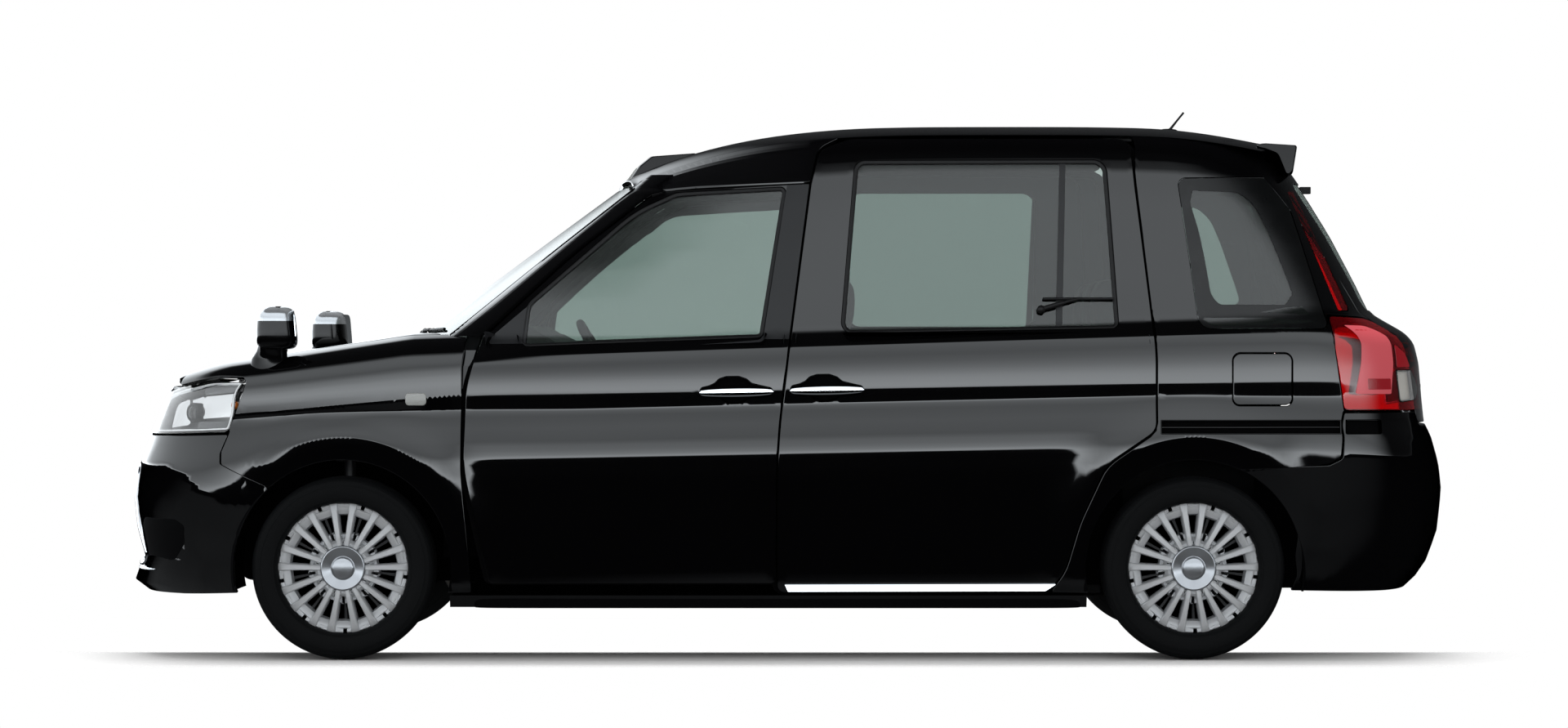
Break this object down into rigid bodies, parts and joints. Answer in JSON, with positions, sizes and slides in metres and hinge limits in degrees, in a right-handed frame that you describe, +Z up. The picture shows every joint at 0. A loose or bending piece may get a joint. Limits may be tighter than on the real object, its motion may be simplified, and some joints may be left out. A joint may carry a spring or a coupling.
{
  "type": "taxi cab",
  "caption": "Tall black taxi cab with hinged front doors, a sliding rear door on its left side, stalk mirrors on the wings, a roof lamp, a lifting tailgate and steered front wheels.",
  "frame": {"origin": "on the ground under the middle of the body", "axes": "+Z up, -X towards the nose, +X towards the tail, -Y towards the car's left side, where the sliding door is"},
  "size_m": [4.4, 1.695, 1.8173],
  "materials": {
    "black_paint": "gloss",
    "tinted_glass": "polished",
    "dark_steel": "satin",
    "cast_iron": "matte",
    "exhaust_steel": "satin",
    "black_plastic": "matte",
    "gloss_black": "gloss",
    "dash_plastic": "matte",
    "seat_fabric": "matte",
    "clear_lens": "polished",
    "red_lens": "gloss",
    "mirror_chrome": "polished",
    "tyre_rubber": "matte",
    "wheel_silver": "satin"
  },
  "bodies": {
    "root": {"antenna": "black_plastic", "b_pillars": "black_paint", "cowl": "black_plastic", "dashboard": "dash_plastic", "engine": "dark_steel", "exhaust": "exhaust_steel", "floor_pan": "dark_steel", "front_bumper": "black_paint", "front_seats": "seat_fabric", "front_subframe": "dark_steel", "front_wings": "black_paint", "grille_panel": "black_paint", "grilles": "black_plastic", "headlamps": "clear_lens", "hinge_pillars": "black_paint", "mirrors": "mirror_chrome", "plate_bracket": "black_plastic", "quarter_glasses": "tinted_glass", "quarter_panel_left": "black_paint", "quarter_panel_right": "black_paint", "rear_axle": "dark_steel", "rear_bumper": "black_paint", "rear_seat": "seat_fabric", "roof": "black_paint", "roof_light": "gloss_black", "roof_rails": "black_paint", "sills": "black_paint", "sliding_door": "black_paint", "sliding_door_glass": "tinted_glass", "tail_lamps": "red_lens", "windscreen": "tinted_glass"},
    "front_door_left": {"front_door_left": "black_paint", "front_glass_left": "tinted_glass"},
    "front_door_right": {"front_door_right": "black_paint", "front_glass_right": "tinted_glass"},
    "rear_door_right": {"rear_door_right": "black_paint", "rear_glass_right": "tinted_glass"},
    "tailgate": {"tailgate": "black_paint", "tailgate_glass": "tinted_glass"},
    "bonnet": {"bonnet": "black_paint"},
    "fuel_lid": {"fuel_lid": "black_paint"},
    "knuckle_left": {"knuckle_left": "cast_iron"},
    "knuckle_right": {"knuckle_right": "cast_iron"},
    "steering_wheel": {"steering_wheel": "dash_plastic"},
    "wheel_front_left": {"wheel_front_left": "wheel_silver", "tyre_front_left": "tyre_rubber"},
    "wheel_front_right": {"wheel_front_right": "wheel_silver", "tyre_front_right": "tyre_rubber"},
    "wheel_rear_left": {"wheel_rear_left": "wheel_silver", "tyre_rear_left": "tyre_rubber"},
    "wheel_rear_right": {"wheel_rear_right": "wheel_silver", "tyre_rear_right": "tyre_rubber"}
  },
  "joints": [
    {"name": "front_door_left_swing", "type": "hinge", "parent": "root", "child": "front_door_left", "pos_m": [-1.051, -0.8475, 0.655], "axis": [0, -0.0523, -0.9986], "range_deg": [0, 68]},
    {"name": "front_door_right_swing", "type": "hinge", "parent": "root", "child": "front_door_right", "pos_m": [-1.051, 0.8475, 0.655], "axis": [0, -0.0523, 0.9986], "range_deg": [0, 68]},
    {"name": "rear_door_right_swing", "type": "hinge", "parent": "root", "child": "rear_door_right", "pos_m": [-0.033, 0.8475, 0.655], "axis": [0, -0.0523, 0.9986], "range_deg": [0, 68]},
    {"name": "tailgate_lift", "type": "hinge", "parent": "root", "child": "tailgate", "pos_m": [1.597, 0, 1.69], "axis": [0, -1, 0], "range_deg": [0, 80]},
    {"name": "bonnet_lift", "type": "hinge", "parent": "root", "child": "bonnet", "pos_m": [-1.125, 0, 1.064], "axis": [0, 1, 0], "range_deg": [0, 48]},
    {"name": "fuel_lid_swing", "type": "hinge", "parent": "root", "child": "fuel_lid", "pos_m": [1.438, -0.831, 0.9], "axis": [0, 0, -1], "range_deg": [0, 90]},
    {"name": "steer_left", "type": "hinge", "parent": "root", "child": "knuckle_left", "pos_m": [-1.435, -0.65, 0.205], "axis": [0, 0.1626, 0.9867], "range_deg": [-37, 37]},
    {"name": "steer_right", "type": "hinge", "parent": "root", "child": "knuckle_right", "pos_m": [-1.435, 0.65, 0.205], "axis": [0, -0.1626, 0.9867], "range_deg": [-37, 37]},
    {"name": "steering_wheel_turn", "type": "hinge", "parent": "root", "child": "steering_wheel", "pos_m": [-0.648, 0.35, 0.935], "axis": [0.8988, 0, 0.4384], "range_deg": [-590, 590]},
    {"name": "spin_front_left", "type": "hinge", "parent": "knuckle_left", "child": "wheel_front_left", "pos_m": [-1.435, -0.735, 0.296], "axis": [0, 1, 0], "continuous": true},
    {"name": "spin_front_right", "type": "hinge", "parent": "knuckle_right", "child": "wheel_front_right", "pos_m": [-1.435, 0.735, 0.296], "axis": [0, 1, 0], "continuous": true},
    {"name": "spin_rear_left", "type": "hinge", "parent": "root", "child": "wheel_rear_left", "pos_m": [1.315, -0.735, 0.296], "axis": [0, 1, 0], "continuous": true},
    {"name": "spin_rear_right", "type": "hinge", "parent": "root", "child": "wheel_rear_right", "pos_m": [1.315, 0.735, 0.296], "axis": [0, 1, 0], "continuous": true}
  ],
  "couplings": [
    {"joint": "steer_right", "follows": "steer_left", "ratio": 1},
    {"joint": "steering_wheel_turn", "follows": "steer_left", "ratio": 15.75}
  ]
}
